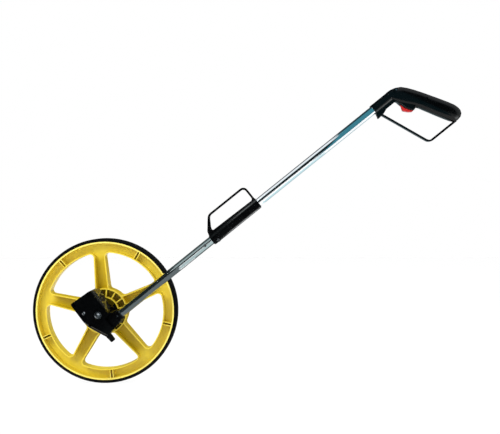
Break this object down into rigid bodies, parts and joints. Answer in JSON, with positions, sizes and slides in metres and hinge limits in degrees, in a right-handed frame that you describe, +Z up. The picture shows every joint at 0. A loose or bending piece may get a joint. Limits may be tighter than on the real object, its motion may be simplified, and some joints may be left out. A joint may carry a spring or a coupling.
{
  "type": "measuring wheel",
  "caption": "Folding distance-measuring wheel with a spoked wheel, side-mounted counter, straight pole with a carry loop, and a pistol grip with a brake trigger.",
  "frame": {"origin": "the point where the tyre touches the ground, straight below the axle, in the middle plane of the wheel", "axes": "+X level, from the wheel toward the grip; +Y along the axle, away from the housing; +Z up"},
  "size_m": [0.9284, 0.0918, 0.6426],
  "materials": {
    "tyre_rubber": "matt, slightly ribbed",
    "yellow_plastic": "satin moulded plastic",
    "bronze": "plain turned",
    "cream_plastic": "satin moulded plastic",
    "bright_steel": "bright zinc plate",
    "spring_steel": "drawn wire",
    "black_steel": "blackened",
    "black_gloss": "polished moulded plastic",
    "black_satin": "satin moulded plastic",
    "tube_chrome": "bright chrome plate",
    "red_plastic": "glossy moulded plastic",
    "smoky_lens": "clear smoke-tinted plastic"
  },
  "bodies": {
    "housing": {"axle": "bright_steel", "axle_nut": "bright_steel", "axle_washer": "bright_steel", "axle_circlip": "spring_steel", "housing_back": "black_gloss", "housing_cover": "black_gloss", "housing_screws": "black_steel", "counter_lens": "smoky_lens", "counter_frame": "bright_steel", "counter_screw": "bright_steel", "drum_shaft": "bright_steel", "pinion_shaft": "bright_steel", "reset_pin": "bright_steel", "reset_spring": "spring_steel", "brake_spring": "spring_steel", "lower_pole": "tube_chrome", "pole_screw": "bright_steel", "fold_bracket": "black_gloss", "bracket_rivets": "bright_steel", "fold_pin": "bright_steel"},
    "wheel": {"wheel": "yellow_plastic", "tyre": "tyre_rubber", "hub_bushes": "bronze", "drive_gear": "cream_plastic"},
    "drum_1": {"number_drum_1": "cream_plastic", "counter_gear": "cream_plastic"},
    "drum_2": {"number_drum_2": "cream_plastic"},
    "drum_3": {"number_drum_3": "cream_plastic"},
    "drum_4": {"number_drum_4": "cream_plastic"},
    "drum_5": {"number_drum_5": "cream_plastic"},
    "pinion_1": {"transfer_pinion_1": "cream_plastic"},
    "pinion_2": {"transfer_pinion_2": "cream_plastic"},
    "pinion_3": {"transfer_pinion_3": "cream_plastic"},
    "pinion_4": {"transfer_pinion_4": "cream_plastic"},
    "reset_lever": {"reset_lever": "black_satin"},
    "brake_shoe": {"brake_shoe": "black_satin", "brake_cable_lower": "spring_steel"},
    "upper_pole": {"fold_knuckle": "black_satin", "knuckle_rivets": "bright_steel", "upper_pole": "tube_chrome", "grip_near_half": "black_gloss", "grip_far_half": "black_gloss", "grip_screws": "bright_steel", "hand_guard": "black_gloss", "trigger_pin": "bright_steel", "trigger_spring": "spring_steel"},
    "trigger": {"trigger": "red_plastic"},
    "upper_cable": {"brake_cable_upper": "spring_steel"}
  },
  "joints": [
    {"name": "wheel_spin", "type": "hinge", "parent": "housing", "child": "wheel", "pos_m": [0, 0, 0.15915], "axis": [0, -1, 0], "continuous": true},
    {"name": "drum_1_spin", "type": "hinge", "parent": "housing", "child": "drum_1", "pos_m": [-0.01836, -0.045, 0.17895], "axis": [0, -1, 0], "continuous": true},
    {"name": "drum_2_spin", "type": "hinge", "parent": "housing", "child": "drum_2", "pos_m": [-0.01836, -0.045, 0.17895], "axis": [0, -1, 0], "continuous": true},
    {"name": "drum_3_spin", "type": "hinge", "parent": "housing", "child": "drum_3", "pos_m": [-0.01836, -0.045, 0.17895], "axis": [0, -1, 0], "continuous": true},
    {"name": "drum_4_spin", "type": "hinge", "parent": "housing", "child": "drum_4", "pos_m": [-0.01836, -0.045, 0.17895], "axis": [0, -1, 0], "continuous": true},
    {"name": "drum_5_spin", "type": "hinge", "parent": "housing", "child": "drum_5", "pos_m": [-0.01836, -0.045, 0.17895], "axis": [0, -1, 0], "continuous": true},
    {"name": "pinion_1_spin", "type": "hinge", "parent": "housing", "child": "pinion_1", "pos_m": [-0.03145, -0.045, 0.16841], "axis": [0, -1, 0], "continuous": true},
    {"name": "pinion_2_spin", "type": "hinge", "parent": "housing", "child": "pinion_2", "pos_m": [-0.03145, -0.045, 0.16841], "axis": [0, -1, 0], "continuous": true},
    {"name": "pinion_3_spin", "type": "hinge", "parent": "housing", "child": "pinion_3", "pos_m": [-0.03145, -0.045, 0.16841], "axis": [0, -1, 0], "continuous": true},
    {"name": "pinion_4_spin", "type": "hinge", "parent": "housing", "child": "pinion_4", "pos_m": [-0.03145, -0.045, 0.16841], "axis": [0, -1, 0], "continuous": true},
    {"name": "reset_lever_swing", "type": "hinge", "parent": "housing", "child": "reset_lever", "pos_m": [0.01291, -0.065, 0.12718], "axis": [0, -1, 0], "range_deg": [0, 15], "stiffness_Nm_per_rad": 0.08},
    {"name": "pole_fold", "type": "hinge", "parent": "housing", "child": "upper_pole", "pos_m": [0.25182, -0.046, 0.31679], "axis": [0, 1, 0], "range_deg": [0, 173]},
    {"name": "trigger_pull", "type": "hinge", "parent": "upper_pole", "child": "trigger", "pos_m": [0.62882, -0.046, 0.63547], "axis": [0, -1, 0], "range_deg": [0, 11], "stiffness_Nm_per_rad": 0.6},
    {"name": "brake_shoe_slide", "type": "slide", "parent": "housing", "child": "brake_shoe", "axis": [0.7788, 0, 0.6273], "range_m": [0, 0.0018]},
    {"name": "upper_cable_slide", "type": "slide", "parent": "upper_pole", "child": "upper_cable", "axis": [0.7866, 0, 0.6175], "range_m": [0, 0.0018]}
  ],
  "couplings": [
    {"joint": "drum_1_spin", "follows": "wheel_spin", "ratio": -1},
    {"joint": "drum_2_spin", "follows": "wheel_spin", "ratio": -0.1},
    {"joint": "drum_3_spin", "follows": "wheel_spin", "ratio": -0.01},
    {"joint": "drum_4_spin", "follows": "wheel_spin", "ratio": -0.001},
    {"joint": "drum_5_spin", "follows": "wheel_spin", "ratio": -0.0001},
    {"joint": "pinion_1_spin", "follows": "wheel_spin", "ratio": 0.25},
    {"joint": "pinion_2_spin", "follows": "wheel_spin", "ratio": 0.025},
    {"joint": "pinion_3_spin", "follows": "wheel_spin", "ratio": 0.0025},
    {"joint": "pinion_4_spin", "follows": "wheel_spin", "ratio": 0.00025},
    {"joint": "brake_shoe_slide", "follows": "trigger_pull", "m_per_rad": 0.0093},
    {"joint": "upper_cable_slide", "follows": "trigger_pull", "m_per_rad": 0.0093}
  ]
}
